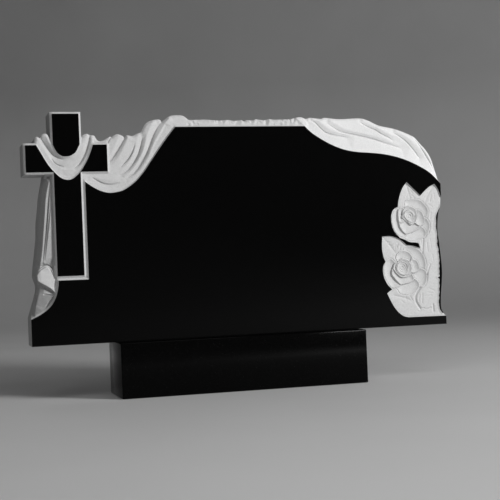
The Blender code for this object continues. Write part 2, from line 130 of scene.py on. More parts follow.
# TABLET
# One slab of the same gabbro. Its face is polished, and the cross, the cloth and the roses are cut
# below it with chisels and rotary burrs and then frosted, which turns the black stone pale grey.
WIDTH = 1200  # of the slab, in millimetres, as all that is drawn on its face
THICKNESS = 100
OVER, FAR = 700, 1300  # above all of the slab, and to the right of it
CENTRE_LINE = 110  # the cross's, from the slab's left end
POST = 72  # width of its upright
SPAN = 219  # of its arms, from end to end
UNDERSIDE = 463  # of its arms
ARM = 73  # height of its arms
TOP = 620
SHAFT_FOOT = 184
CHAMFER = 5.5  # round the cross
WALL_SLOPE = 2.4  # of the walls between the polished face and the carving
BACK_ARRIS = 1.5
LEVELS = (0.08, 0.3, 0.55, 0.8, 1.0)  # of the rings round the slab's sides, from the face to the back
STEP = 1.55  # between the points of the carving
EDGE_STEP = 3.0  # between the points of the slab's outline
HEM_STEP = 2.0  # between the points of a hem or of the roses' border
HEM_ROWS = (0.9, 1.8, 2.8, 4.0)  # distances of the rows of points along a hem, where the wall stands
HEM_GAP = 0.85  # least gap between the points of these rows
FILL_GAP = 0.72 * STEP  # and between those that fill the rest
RIM_STEP = 0.4  # between the places from which a distance to the rim is measured
MERGE = 0.2  # points nearer than this become one

RIGHT_EDGE = [(1200, 23), (1187, 45), (1187, 80), (1192, 125), (1194, 165), (1189, 235),
              (1185, 275), (1189, 320), (1197, 348), (1200, 373)]
DRAPE_TOP = [(1200, 412), (1189, 451), (1172, 496), (1139, 538), (1120, 554), (1068, 574),
             (1017, 585), (981, 601), (955, 606), (895, 604), (853, 608), (839, 605),
             (808, 608), (795, 605), (780, 610), (762, 608)]
ROUGH_TOP = [(762, 608), (748, 604), (700, 603), (684, 605), (668, 601), (646, 605), (638, 601),
             (618, 602), (611, 598), (604, 602), (580, 600), (566, 603), (538, 601), (500, 604),
             (452, 603)]
SWAG_TOP = [(452, 603), (441, 612), (431, 616), (408, 616), (394, 612), (384, 604)]
SWAG_HUMPS = [[(384, 604), (375, 598)],
              [(375, 598), (369, 605), (347, 602), (332, 595), (323, 583), (316, 570),
               (305, 566), (292, 560), (276, 562), (270, 554)],
              [(270, 554), (266, 560), (252, 565), (242, 562), (235, 556)],
              [(235, 556), (231, 559), (222, 554), (212, 548), (203, 546)]]
SHROUD_TOPS = [[(203, 546), (196, 549), (191, 556), (187, 562), (175, 563), (168, 567), (157, 563),
                (152, 557)],
               [(70, 549), (67, 557), (62, 565), (55, 568), (47, 565), (42, 556)],
               [(42, 556), (38, 558), (33, 560), (28, 556), (26, 548), (25, 541)],
               [(25, 541), (25, 503)]]
TAIL_EDGE = [(50, 457), (47, 440), (39, 400), (34, 360), (30, 330), (28, 290), (24, 258),
             (20, 230), (16, 200), (15, 187)]
TAIL_TURN = [(15, 187), (18, 175), (22, 163), (22, 150), (19, 135), (8, 100), (0, 75)]

TAIL_HEM = [(76, 184), (76, 165), (71, 138), (64, 121), (54, 106), (41, 94), (22, 82), (0, 72)]
SWAG_HEM = [(146, 446), (157, 436), (180, 420), (200, 410), (220, 405), (240, 406), (260, 411),
            (280, 423), (300, 439), (320, 462), (340, 490), (380, 545), (411, 583)]
DRAPE_HEM = [(787, 583), (800, 570), (820, 555), (860, 532), (900, 516), (940, 508), (980, 505),
             (1020, 501), (1060, 493), (1100, 480), (1140, 461), (1170, 442), (1200, 412)]
ROSE_BORDER = [[(1190, 24), (1080, 25)],
               [(1080, 25), (1066, 29), (1052, 39), (1040, 53), (1030, 70), (1017, 97)],
               [(1017, 97), (1024, 102), (1033, 108)],
               [(1033, 108), (1020, 122), (1011, 140), (1007, 160), (1009, 177), (1016, 188)],
               [(1016, 188), (1010, 205), (1007, 228), (1009, 262)],
               [(1009, 262), (1035, 262), (1055, 256), (1070, 247), (1084, 235)],
               [(1084, 235), (1097, 233), (1110, 230), (1126, 225)],
               [(1126, 225), (1124, 234), (1119, 240), (1095, 243), (1080, 250), (1064, 256)],
               [(1064, 256), (1045, 280), (1039, 312), (1046, 337), (1062, 347)],
               [(1062, 347), (1064, 362), (1070, 382), (1080, 403), (1092, 418)],
               [(1092, 418), (1105, 406), (1134, 378)],
               [(1134, 378), (1148, 391), (1163, 403), (1180, 411)],
               [(1180, 411), (1190, 397), (1199, 373)]]
SHROUD_OUTER = [(24, 547), (40, 518), (60, 483), (80, 459), (96, 446), (112, 442), (126, 446),
                (145, 463), (163, 491), (173, 512), (182, 536)]
SHROUD_INNER = [(146, 537), (136, 518), (128, 511), (118, 506), (106, 505), (96, 507), (84, 517), (73, 539)]

# Lines of the cloth and how deep below the polished face they lie, at their start and their end, or
# at more places along them. Between the lines the stone is cut straight, and then smoothed.
SHROUD_LINES = [
    ([(33, 556), (45, 535), (58, 512), (72, 493), (88, 478), (106, 469), (122, 468)], (5, 3.5, 3, 3)),
    ([(57, 565), (66, 540), (78, 518), (92, 505), (110, 499)], (5, 4, 4, 6)),
    ([(43, 556), (52, 541), (61, 528), (71, 514), (81, 506), (92, 500), (104, 497)], (12, 12, 11, 7)),
    ([(69, 501), (76, 491), (86, 483), (102, 477)], (8.5, 9.5, 9, 7.2)),
    ([(66, 497), (73, 487), (83, 479), (98, 473)], (4, 4, 4, 4)),
    ([(168, 565), (161, 546), (156, 526), (146, 506), (136, 496)], (5, 4, 4, 6)),
    ([(180, 562), (176, 541), (168, 515), (157, 495), (147, 480), (134, 466)], (5, 4, 3.5, 4)),
    ([(175, 561), (171, 541), (163, 516), (152, 496), (140, 481), (128, 473)], (11, 10, 9, 6)),
    ([(100, 456), (113, 453), (128, 458)], (4.5, 4, 4.5)),
]
SWAG_LINES = [
    ([(255, 562), (248, 545), (238, 525), (228, 508)], (6, 5, 6)),
    ([(281, 562), (273, 545), (264, 525), (252, 505), (240, 490), (230, 480)], (5, 4, 4, 7)),
    ([(308, 565), (300, 535), (290, 510), (278, 490), (262, 470), (248, 460)], (6, 5, 5, 6)),
    ([(350, 600), (332, 560), (322, 525), (310, 500), (296, 478), (280, 460), (264, 449)], (4, 3, 3, 5)),
    ([(394, 608), (374, 575), (356, 548), (343, 522), (330, 498), (313, 473), (296, 455), (275, 441)],
     (4, 3, 3, 4, 6)),
    ([(408, 594), (388, 564), (362, 528), (338, 492), (313, 463), (289, 441), (268, 428)], (6, 5, 4, 5)),
    ([(165, 452), (200, 442), (235, 441), (262, 447)], (6, 5, 5, 7)),
    ([(165, 441), (185, 427), (205, 419), (222, 415), (246, 418), (272, 431)], (6, 5, 5, 6)),
    ([(233, 557), (226, 546), (222, 537)], (9, 8.5, 7)),
    ([(271, 556), (262, 540), (250, 520), (238, 503), (229, 492), (219, 482)], (11, 10.5, 10, 7.5)),
    ([(297, 535), (288, 512), (277, 496), (255, 474)], (7, 8, 8.5, 7)),
    ([(319, 555), (311, 522), (302, 501), (291, 484), (277, 468), (262, 457), (250, 452)],
     (9, 10.5, 10, 8.5, 7)),
    ([(375, 598), (362, 582), (347, 553), (338, 529), (328, 508), (316, 488), (301, 467), (286, 453),
      (270, 445)], (10.5, 11, 11, 10.5, 7.5)),
    ([(384, 590), (369, 563), (352, 536), (340, 515)], (7, 7.5, 7, 5)),
    ([(178, 446), (204, 432), (226, 428), (252, 432)], (7.5, 8.5, 8.5, 7)),
    ([(448, 604), (436, 596), (424, 590)], (7, 6, 5.5)),
]
TAIL_LINES = [
    ([(61, 436), (52, 398), (48, 362), (45, 330), (41, 295), (36, 250), (31, 222)], (9, 7, 6.5, 7, 8)),
    ([(63, 430), (58, 385), (53, 335), (48, 295), (42, 255), (37, 224)], (12, 13, 14, 13, 10)),
    ([(66, 410), (62, 372), (57, 330), (51, 290), (45, 250), (41, 222)], (10, 7, 6.5, 7, 8)),
    ([(69, 392), (70, 330), (72, 270), (73, 236)], (15, 15, 15, 15)),
    ([(30, 210), (42, 216), (52, 215), (66, 204), (76, 194)], (15, 17, 18, 19, 19)),
    ([(17, 186), (28, 202), (50, 211), (63, 190), (70, 176), (66, 160), (66, 144)],
     (11, 9, 8, 9, 10, 9, 8)),
    ([(18, 176), (26, 171), (38, 164), (54, 154), (66, 142)], (6.5, 5.5, 5, 5.5, 7)),
    ([(21, 168), (30, 161), (42, 152), (58, 142), (66, 136)], (20, 20, 19, 18, 16)),
    ([(24, 150), (19, 128), (12, 104), (8, 90)], (28, 28, 27, 22)),
    ([(36, 137), (50, 136), (62, 134)], (22, 16, 12)),
    ([(64, 134), (52, 117), (40, 102)], (11, 12, 12)),
    ([(12, 83), (28, 89), (44, 100), (57, 113), (67, 130)], (6, 5, 5, 5, 6)),
]
DRAPE_LINES = [
    ([(769, 607), (780, 600), (791, 588)], (5, 4, 4)),
    ([(784, 608), (793, 600), (801, 588)], (7.5, 7.5, 6)),
    ([(803, 602), (820, 594), (836, 579), (850, 567), (870, 559), (890, 555), (918, 549)],
     (9, 9.2, 8.8, 7)),
    ([(814, 606), (832, 598), (848, 585), (864, 573), (882, 565), (902, 560)], (5, 4.6, 4.2, 4.6, 6)),
    ([(858, 590), (876, 579), (896, 568), (925, 561), (955, 555), (980, 549), (1006, 542), (1036, 532),
      (1056, 526), (1082, 517)], (7.8, 9, 9, 9, 8.6, 7)),
    ([(868, 599), (886, 588), (906, 576), (932, 569), (962, 562), (990, 555), (1016, 548), (1046, 538),
      (1072, 529)], (5, 4.2, 4, 4, 4.2, 5)),
    ([(958, 593), (981, 581), (1006, 571), (1021, 561), (1041, 551), (1056, 541)], (7.4, 8.4, 8.6, 7)),
    ([(968, 599), (990, 589), (1014, 578), (1030, 568), (1050, 558), (1068, 547)], (5, 4.4, 4, 4.2, 5)),
    ([(1060, 562), (1085, 548), (1105, 532), (1125, 508), (1140, 486)], (7.5, 8, 8, 7)),
    ([(1070, 569), (1095, 555), (1115, 539), (1135, 513), (1151, 489)], (4.4, 4, 4, 4.4)),
    ([(1122, 551), (1141, 526), (1156, 501), (1171, 476), (1184, 450)], (7.6, 8.5, 8.3, 7.2)),
    ([(1131, 553), (1150, 528), (1165, 503), (1179, 478)], (4.5, 4, 4.5)),
]
CREASE_FROM = 7  # a line that is nowhere shallower is a groove, and gets a crease along its floor
CREASE_DEEP = 9.5  # and so does one that reaches this depth anywhere
CREASE_CUT = 5.0
CREASE_WIDTH = 1.4
# Each fold of the drape lies over the next one up, so a crest runs close below each groove.
LAP_LEFT, LAP_DOWN = 2.2, 2.8
LAP_DEPTHS = (5.5, 3.4, 3.2, 3.4, 5.5)
DRAPE_LINES += [([(x - LAP_LEFT, z - LAP_DOWN) for x, z in line], LAP_DEPTHS)
                for line, depths in DRAPE_LINES if max(depths) > CREASE_FROM]
# Each cloth's folds, its hems with their depth from end to end, and its depth at the slab's edge. A
# cloth lies over those before it.
CLOTH = {
    "tail": (TAIL_LINES, [(TAIL_HEM, (6, 5, 4))], 30),
    "swag": (SWAG_LINES, [(SWAG_HEM, (3.5, 4, 5, 6, 6)), ([(412, 583), (447, 583)], (5, 4))], 8),
    "drape": (DRAPE_LINES, [(DRAPE_HEM, (3, 2.2, 2.2, 2.6))], 9),
    "shroud": (SHROUD_LINES, [(SHROUD_OUTER, (2.6, 2.2, 2.6)), (SHROUD_INNER, (2.6, 2.6))], 7),
}
GROUND = 9.0  # depth of the carved ground that no cloth or rose covers
# How many times each part of the carving is rounded over, and how much it settles each time
SOFT = {"shroud": 2, "tail": 1, "swag": 4, "drape": 5, "rough": 1, "roses": 1}
STAYS, SETTLES = 0.45, 0.55
# The slab's edge: how far the carving falls away there, and from what distance
EDGE_FALL, EDGE_WIDTH = 4, 8
ROSE_EDGE_FALL, ROSE_EDGE_WIDTH = 1.5, 3
# The cloth that hangs below the left arm gets the rougher sawn finish, whose darker tone there is painted
# shade, as it lies in the cross's shade: all of it but its turned-over fold, which lies between two levels, and
# that fold only where it faces left, away from the key light. Its hem keeps the carved finish.
TURNED_FOLD = (136, 214)
TURNED_AWAY = -0.34
TURNED_SHADE_FROM, HEM_FROM = 7, 3
# The humps of cloth on the slab's top, from left to right, narrow as they go back
HUMPS = (152, 450)
HUMPS_ABOVE = 540
TAPER = 0.25

# The narrow polished ledge along the right end, a little behind the face
LEDGE_DEPTH = 3.2
LEDGE_RIM = 1.6  # depth of the line where it meets the carving
LEDGE_WALL, LEDGE_BANK = 1.3, 0.5  # how steeply the stone goes down from it, on the ledge and beside it
LEDGE_POLISH_FROM = 0.9  # from that line
LEDGE = [(1197, 350), (1189.5, 334), (1182.5, 321), (1180.5, 308), (1180.8, 297), (1179.6, 286),
         (1180.4, 276), (1182, 262), (1181.2, 252), (1182.4, 244), (1180.4, 236), (1182, 228),
         (1184.6, 219), (1183.4, 212), (1185.6, 202), (1184.8, 194), (1186.4, 187), (1184.4, 178),
         (1185.6, 170), (1183.4, 163), (1184.8, 155), (1183.2, 147), (1184.2, 140), (1177.5, 136),
         (1183.6, 131), (1182, 121), (1183.2, 112), (1181, 103), (1181.8, 94), (1179.4, 85),
         (1180.2, 76), (1178.2, 67), (1178.8, 57), (1179.6, 48), (1182.6, 39), (1188, 32)]

# The rough pitched top: its level lower edge, its joins to the cloth and two deeper cuts
ROUGH_LINES = [[(447, 584), (786, 584)], [(447, 586), (451, 622)], [(786, 586), (765, 608)],
               [(758, 596), (760, 616)], [(674, 590), (675, 612)]]
ROUGH_CUTS = (3.0, 6.5, 5.0, 10.0, 11.0)
CHIPS = 300  # over the rough top, and how deep the punch went
CHIP_DEPTHS = (4.5, 9)

# Leaves: the vein from its tip to its root, and how far the blade reaches on each side. The blade
# falls towards the vein, which is a finer cut, and both fade towards the root.
LEAF_DEPTH = 7.6
LEAF_RISE = 4.2
LEAF_FOLD = 2.0
VEIN_CUT, VEIN_WIDTH = 1.3, 1.5
LEAF_VEINS = [
    ([(1092, 416), (1098, 392), (1106, 366), (1112, 350)], 10),
    ([(1180, 408), (1166, 388), (1152, 362), (1146, 340)], 10),
    ([(1012, 259), (1030, 240), (1050, 212), (1060, 196)], 10),
    ([(1040, 90), (1066, 83), (1088, 75), (1102, 60)], 6),
]
# Strokes of the burr on the leaves and the ground: the line, its depth and its width
STROKES = [
    ([(1124, 110), (1114, 97), (1108, 86), (1107, 73), (1113, 59), (1121, 47)], 4.5, 3.0),
    ([(1126, 48), (1133, 49)], 3.5, 1.4), ([(1136, 46), (1145, 47), (1154, 50)], 3.0, 1.4),
    ([(1161, 58), (1162, 38)], 3.5, 2.4), ([(1111, 41), (1120, 40), (1132, 43)], 2.0, 1.2),
    ([(1129, 92), (1127, 64)], 1.8, 1.2), ([(1120, 89), (1117, 70)], 1.6, 1.2),
    ([(1150, 106), (1166, 99)], 1.2, 1.2), ([(1135, 84), (1158, 85)], 1.2, 1.2),
    ([(1146, 94), (1162, 92)], 1.0, 1.2), ([(1052, 236), (1049, 225)], 2.2, 1.2),
    ([(1059, 242), (1055, 228)], 2.4, 1.3), ([(1067, 234), (1064, 223)], 2.2, 1.2),
    ([(1040, 234), (1030, 236)], 1.6, 1.1), ([(1033, 244), (1024, 245)], 1.4, 1.1),
    ([(1045, 228), (1036, 225)], 1.5, 1.1), ([(1140, 254), (1138, 236), (1135, 210)], 3.2, 1.8),
    ([(1132, 248), (1134, 229)], 1.8, 1.3), ([(1158, 176), (1151, 160), (1147, 146)], 2.6, 1.4),
    ([(1148, 147), (1145, 128)], 2.2, 1.3), ([(1150, 240), (1152, 214)], 1.4, 1.2),
    ([(1160, 250), (1163, 222)], 1.0, 1.2), ([(1166, 205), (1168, 186)], 1.0, 1.1),
    ([(1077, 107), (1078, 94)], 2.2, 1.2), ([(1105, 106), (1107, 96)], 2.4, 1.3),
    ([(1090, 102), (1091, 95)], 1.2, 1.1), ([(1076, 86), (1078, 74)], 1.4, 1.1),
    ([(1090, 86), (1098, 71)], 1.6, 1.1), ([(1060, 75), (1072, 66)], 1.2, 1.1),
    ([(1104, 396), (1112, 384)], 1.4, 1.1), ([(1108, 382), (1117, 371)], 1.6, 1.1),
    ([(1096, 384), (1090, 374)], 1.2, 1.1), ([(1158, 384), (1152, 370)], 1.4, 1.2),
    ([(1170, 380), (1166, 360)], 1.6, 1.3), ([(1178, 386), (1180, 366)], 1.2, 1.2),
    ([(1150, 376), (1140, 366)], 1.4, 1.1), ([(1160, 352), (1172, 344)], 1.2, 1.1),
    ([(1166, 330), (1164, 308)], 1.6, 1.3), ([(1172, 300), (1170, 276)], 1.2, 1.2),
    ([(1160, 290), (1158, 268)], 1.4, 1.2), ([(1150, 268), (1146, 256)], 2.4, 1.4),
]

# Petals of each rose from the outside in: how far the rim stands above the leaves, and its outline
UPPER_ROSE = [
    (5.6, [(1086, 345), (1085, 357), (1090, 366), (1104, 369), (1122, 368), (1136, 364), (1148, 353),
           (1158, 338), (1158, 322), (1150, 312), (1130, 312), (1100, 330)]),
    (5.5, [(1146, 314), (1153, 310), (1161, 298), (1162, 282), (1154, 266), (1143, 258), (1130, 262),
           (1118, 280), (1120, 300), (1134, 312)]),
    (5.3, [(1083, 263), (1082, 255), (1090, 249), (1102, 247), (1118, 246), (1132, 250), (1146, 256),
           (1150, 270), (1142, 284), (1120, 292), (1100, 285)]),
    (5.7, [(1065, 345), (1054, 338), (1046, 326), (1042, 310), (1044, 293), (1050, 278), (1059, 266),
           (1070, 260), (1083, 258), (1090, 270), (1082, 300), (1072, 330)]),
    (6.1, [(1064, 302), (1067, 288), (1075, 275), (1084, 267), (1095, 268), (1107, 271), (1117, 275),
           (1127, 281), (1131, 290), (1120, 305), (1095, 315), (1075, 310)]),
    (6.2, [(1118, 338), (1130, 337), (1140, 328), (1146, 315), (1148, 303), (1142, 292), (1130, 289),
           (1118, 295), (1108, 312), (1110, 330)]),
    (6.5, [(1063, 338), (1062, 320), (1063, 305), (1070, 299), (1080, 303), (1090, 320), (1086, 340),
           (1074, 345)]),
    (6.8, [(1073, 316), (1082, 308), (1092, 300), (1102, 292), (1112, 296), (1118, 306), (1110, 320),
           (1090, 326), (1078, 324)]),
    (7.0, [(1080, 338), (1086, 345), (1098, 348), (1110, 345), (1118, 338), (1123, 326), (1123, 312),
           (1117, 300), (1106, 294), (1092, 303), (1080, 315), (1076, 328)]),
    (7.5, [(1082, 331), (1089, 335), (1098, 337), (1106, 334), (1112, 327), (1116, 318), (1114, 308),
            (1107, 300), (1098, 302), (1088, 309), (1081, 319)]),
]
LOWER_ROSE = [
    (5.6, [(1074, 222), (1082, 230), (1095, 231), (1107, 228), (1121, 222), (1133, 211), (1141, 195),
           (1145, 177), (1141, 160), (1128, 152), (1100, 170), (1080, 200)]),
    (5.5, [(1100, 130), (1110, 118), (1124, 110), (1138, 116), (1146, 134), (1146, 152), (1138, 162),
           (1118, 168), (1096, 160), (1088, 146)]),
    (5.4, [(1037, 110), (1048, 110), (1054, 103), (1058, 96), (1068, 92), (1084, 91), (1098, 93),
           (1110, 99), (1121, 112), (1118, 128), (1098, 140), (1070, 135), (1048, 125)]),
    (5.7, [(1020, 192), (1013, 178), (1011, 160), (1015, 141), (1023, 126), (1035, 112), (1050, 113),
           (1064, 118), (1068, 140), (1058, 170), (1046, 188), (1034, 197)]),
    (6.1, [(1037, 166), (1035, 152), (1043, 139), (1053, 128), (1063, 120), (1076, 121), (1090, 124),
           (1103, 130), (1104, 144), (1090, 158), (1064, 166), (1046, 172)]),
    (6.2, [(1049, 196), (1052, 207), (1062, 216), (1074, 219), (1088, 216), (1098, 208), (1103, 197),
           (1100, 184), (1080, 180), (1060, 184)]),
    (6.2, [(1098, 194), (1110, 192), (1119, 185), (1123, 172), (1122, 160), (1112, 153), (1098, 154),
           (1088, 170)]),
    (6.6, [(1039, 168), (1046, 158), (1055, 149), (1063, 142), (1074, 140), (1087, 142), (1095, 149),
           (1090, 165), (1070, 180), (1054, 186), (1044, 181)]),
    (7.0, [(1054, 184), (1060, 191), (1070, 196), (1080, 195), (1090, 190), (1097, 180), (1100, 168),
           (1098, 156), (1090, 149), (1076, 146), (1062, 149), (1052, 158), (1049, 172)]),
    (7.5, [(1053, 176), (1058, 184), (1067, 188), (1077, 186), (1084, 180), (1088, 170), (1088, 160),
            (1083, 152), (1074, 148), (1063, 151), (1055, 158), (1051, 167)]),
]
PETAL_CUP, PETAL_WIDTH = 8.2, 7  # how deep a petal's hollow is, and how far from its rim it starts
PETAL_ROLL, PETAL_LIP = 1.4, 1.6  # how the rim rolls over
PETAL_GROOVE, GROOVE_WIDTH = 3.0, 1.7  # the undercut round it, in the petal below
# The bud at each rose's heart: its centre and reach. It rises in a spiral of rolled petals.
BUDS = [((1099, 319), 17), ((1069, 169), 19)]
BUD_RISE, BUD_CUT = 2.6, 1.5
SPIRAL = 5.4  # from one turn to the next
# The dotted groove along the roses' border
DOTS_CUT, DOTS_FROM, DOTS_WIDTH = 2.4, 2.0, 0.9


def smooth(points, step):
    """A Catmull-Rom curve through the points, with a point about every step."""
    points = np.array(points, float)
    ends = [2 * points[0] - points[1], *points, 2 * points[-1] - points[-2]]
    curve = []
    for a, b, c, d in zip(ends, ends[1:], ends[2:], ends[3:]):
        count = max(1, round(float(np.linalg.norm(c - b)) / step))
        for t in np.arange(count) / count:
            bend = 2 * a - 5 * b + 4 * c - d + t * (3 * b - a - 3 * c + d)
            curve.append(b + t / 2 * (c - a + t * bend))
    return np.array(curve + [points[-1]])


def straight(points, step):
    """The same line with a point about every step."""
    points = np.array(points, float)
    line = []
    for a, b in zip(points[:-1], points[1:]):
        count = max(1, round(float(np.linalg.norm(b - a)) / step))
        line += [a + (b - a) * t / count for t in range(count)]
    return np.array(line + [points[-1]])


def joined(*runs):
    """Runs laid end to end as one outline, without the doubled corners."""
    outline = [runs[0]]
    for run in runs[1:]:
        repeats = np.linalg.norm(run[0] - outline[-1][-1]) < MERGE
        outline.append(run[1:] if repeats else run)
    return np.concatenate(outline)


def cross_outline(margin):
    """The twelve corners of the cross's face, moved out by a margin."""
    post, arm = POST / 2 + margin, SPAN / 2 + margin
    low, high, top, foot = UNDERSIDE - margin, UNDERSIDE + ARM + margin, TOP + margin, SHAFT_FOOT - margin
    right = [(post, foot), (post, low), (arm, low), (arm, high), (post, high), (post, top)]
    left = [(-x, z) for x, z in reversed(right)]
    return np.array(right + left) + (CENTRE_LINE, 0)


def inside(points, outline):
    """Which points lie inside a closed outline."""
    hits = np.zeros(len(points), bool)
    for (ax, az), (bx, bz) in zip(outline, np.roll(outline, -1, axis=0)):
        if az != bz:
            crosses = (az > points[:, 1]) != (bz > points[:, 1])
            hits ^= crosses & (points[:, 0] < ax + (bx - ax) * (points[:, 1] - az) / (bz - az))
    return hits


def distance_to(points, line):
    """Each point's distance to a line, and its place along it from 0 to 1."""
    best = np.full(len(points), np.inf)
    along = np.zeros(len(points))
    for index, (a, b) in enumerate(zip(line[:-1], line[1:])):
        run = b - a
        t = np.clip((points - a) @ run / max(run @ run, 1e-9), 0, 1)
        away = points - (a + t[:, None] * run)
        distance = np.hypot(away[:, 0], away[:, 1])
        along = np.where(distance < best, (index + t) / (len(line) - 1), along)
        best = np.minimum(best, distance)
    return best, along


def closed(line):
    """The line with its first point again at its end."""
    return np.vstack([line, line[:1]])


def beside(line, distance):
    """Points at a distance on each side of a line."""
    run = np.gradient(line, axis=0)
    normal = np.column_stack([run[:, 1], -run[:, 0]]) / np.linalg.norm(run, axis=1)[:, None]
    return np.vstack([line + distance * normal, line - distance * normal])


def thinned(points, fixed, gap):
    """The points that keep a gap to all the fixed points and to each other."""
    cells = {}
    for x, z in fixed:
        cells.setdefault((int(x // gap), int(z // gap)), []).append((x, z))
    chosen = []
    for x, z in points:
        column, row = int(x // gap), int(z // gap)
        around = [q for i in (-1, 0, 1) for j in (-1, 0, 1) for q in cells.get((column + i, row + j), ())]
        if all((x - u) ** 2 + (z - v) ** 2 >= gap * gap for u, v in around):
            cells.setdefault((column, row), []).append((x, z))
            chosen.append((x, z))
    return np.array(chosen).reshape(-1, 2)


def triangulated(points, edges, merge):
    """Points and triangles of a net that follows the edges."""
    flat = [tuple(point) for point in points]
    found, _, triangles, *_ = geometry.delaunay_2d_cdt(flat, edges, [], 0, merge, False)
    return np.array([tuple(point) for point in found]), np.array(triangles)


def chained(lines):
    """Edges that join the points of each line in turn, when the lines are stacked."""
    starts = np.cumsum([0] + [len(line) for line in lines[:-1]])
    return [(s + i, s + i + 1) for s, line in zip(starts, lines) for i in range(len(line) - 1)]


def cut_between(points, lines, depths):
    """Depth at each point of a surface cut straight from line to line."""
    stacked, values = np.vstack(lines), np.concatenate(depths)
    corners, triangles = triangulated(stacked, chained(lines), MERGE)
    tree = kdtree.KDTree(len(stacked))
    for index, (x, z) in enumerate(stacked):
        tree.insert((x, z, 0), index)
    tree.balance()
    corner_depth = np.array([values[tree.find((x, z, 0))[1]] for x, z in corners])
    depth = np.full(len(points), float(np.mean(values)))
    for triangle in triangles:
        a, b, c = corners[triangle]
        area = (b[0] - a[0]) * (c[1] - a[1]) - (b[1] - a[1]) * (c[0] - a[0])
        if abs(area) < 1e-6:
            continue
        low, high = corners[triangle].min(axis=0), corners[triangle].max(axis=0)
        near = np.flatnonzero(((points >= low) & (points <= high)).all(axis=1))
        p = points[near]
        v = ((p[:, 0] - a[0]) * (c[1] - a[1]) - (p[:, 1] - a[1]) * (c[0] - a[0])) / area
        w = ((b[0] - a[0]) * (p[:, 1] - a[1]) - (b[1] - a[1]) * (p[:, 0] - a[0])) / area
        within = (v >= -1e-6) & (w >= -1e-6) & (v + w <= 1 + 1e-6)
        deep = corner_depth[triangle]
        mixed = (1 - v - w) * deep[0] + v * deep[1] + w * deep[2]
        depth[near[within]] = mixed[within]
    return depth


def cloth(points, region, folds, hems, edge_depth):
    """Depth of one piece of cloth, from its folds, its hems and the slab's cut edge."""
    lines = [smooth(line, 3) for line, _ in folds + hems]
    depths = [np.interp(np.linspace(0, 1, len(line)), np.linspace(0, 1, len(values)), values)
              for line, (_, values) in zip(lines, folds + hems)]
    rim = outline[inside(outline, region)]
    (left, bottom), (right, top) = points.min(axis=0) - 20, points.max(axis=0) + 20
    corners = np.array([(left, bottom), (right, bottom), (right, top), (left, top)])
    for extra in (*rim[::2], *corners):
        lines.append(np.array([extra]))
        depths.append(np.array([float(edge_depth)]))
    return cut_between(points, lines, depths)


def rose_height(points):
    """How far the roses and their leaves stand above the ground. A leaf is folded along its vein, and
    a petal is cupped: highest at its rim, which rolls over, and undercut where it lies on the next."""
    height = np.full(len(points), LEAF_RISE)
    for vein, reach in LEAF_VEINS:
        edge, along = distance_to(points, smooth(vein, 3))
        hollow = LEAF_FOLD * np.exp(-edge / reach) + VEIN_CUT * np.exp(-edge / VEIN_WIDTH)
        height -= hollow * np.clip(2.4 - 2.4 * along, 0, 1)
    for line, cut, width in STROKES:
        low, high = np.min(line, axis=0) - 6, np.max(line, axis=0) + 6
        near = np.flatnonzero(((points > low) & (points < high)).all(axis=1))
        edge, _ = distance_to(points[near], smooth(line, 3))
        height[near] -= cut * np.exp(-(edge / width) ** 2)
    for rim, outline in UPPER_ROSE + LOWER_ROSE:
        outline = smooth(closed(np.array(outline, float)), 2)
        low, high = outline.min(axis=0) - 8, outline.max(axis=0) + 8
        near = np.flatnonzero(((points > low) & (points < high)).all(axis=1))
        edge, _ = distance_to(points[near], outline)
        petal = rim - PETAL_CUP * (1 - np.exp(-edge / PETAL_WIDTH))
        petal -= PETAL_ROLL * np.clip(1 - edge / PETAL_LIP, 0, 1) ** 2
        undercut = height[near] - PETAL_GROOVE * np.exp(-(edge / GROOVE_WIDTH) ** 2)
        height[near] = np.where(inside(points[near], outline), petal, undercut)
    for (x, z), reach in BUDS:
        out = np.hypot(points[:, 0] - x, points[:, 1] - z)
        turn = np.arctan2(points[:, 1] - z, points[:, 0] - x) / math.tau
        spiral = np.cos(math.tau * (out / SPIRAL - turn))
        height += np.clip(1.4 - out / reach, 0, 1) * (BUD_RISE - BUD_CUT * (1 - spiral))
    return height


outline = joined(straight([(0, 0), (WIDTH, 0)], 12), smooth(RIGHT_EDGE, EDGE_STEP),
                 smooth(DRAPE_TOP, EDGE_STEP), straight(ROUGH_TOP, EDGE_STEP), smooth(SWAG_TOP, EDGE_STEP),
                 *[smooth(hump, EDGE_STEP) for hump in SWAG_HUMPS + SHROUD_TOPS],
                 smooth(TAIL_EDGE, EDGE_STEP), smooth(TAIL_TURN, EDGE_STEP),
                 straight([(0, 75), (0, 0)], 12)[:-1])
outline[:, 0] = np.minimum(outline[:, 0], WIDTH)
rose_line = joined(*[smooth(run, HEM_STEP) for run in ROSE_BORDER])
regions = {
    "shroud": np.concatenate([smooth(SHROUD_OUTER, HEM_STEP),
                              [(184, 542), (184, 653), (152, 653), (152, 542)],
                              smooth(SHROUD_INNER, HEM_STEP), [(68, 545), (68, 653), (24, 653)]]),
    "tail": np.vstack([smooth(TAIL_HEM, HEM_STEP), [(-60, 72), (-60, 470), (110, 470), (110, 184)]]),
    "swag": np.vstack([smooth(SWAG_HEM, HEM_STEP), [(446, 583), (452, OVER), (110, OVER), (110, 446)]]),
    "rough": np.array([(446, 583), (787, 583), (766, 604), (766, OVER), (452, OVER)]),
    "drape": np.vstack([smooth(DRAPE_HEM, HEM_STEP), [(FAR, 412), (FAR, OVER), (766, OVER), (766, 604)]]),
    "roses": np.vstack([rose_line, [(FAR, 373), (FAR, 24)]]),
}


def is_polished(points):
    """Which points lie on the polished panel or on the cross's polished face."""
    panel = inside(points, outline) & ~inside(points, cross_outline(2 * CHAMFER))
    for region in regions.values():
        panel &= ~inside(points, region)
    return panel | (inside(points, cross_outline(0)) & ~inside(points, regions["shroud"]))


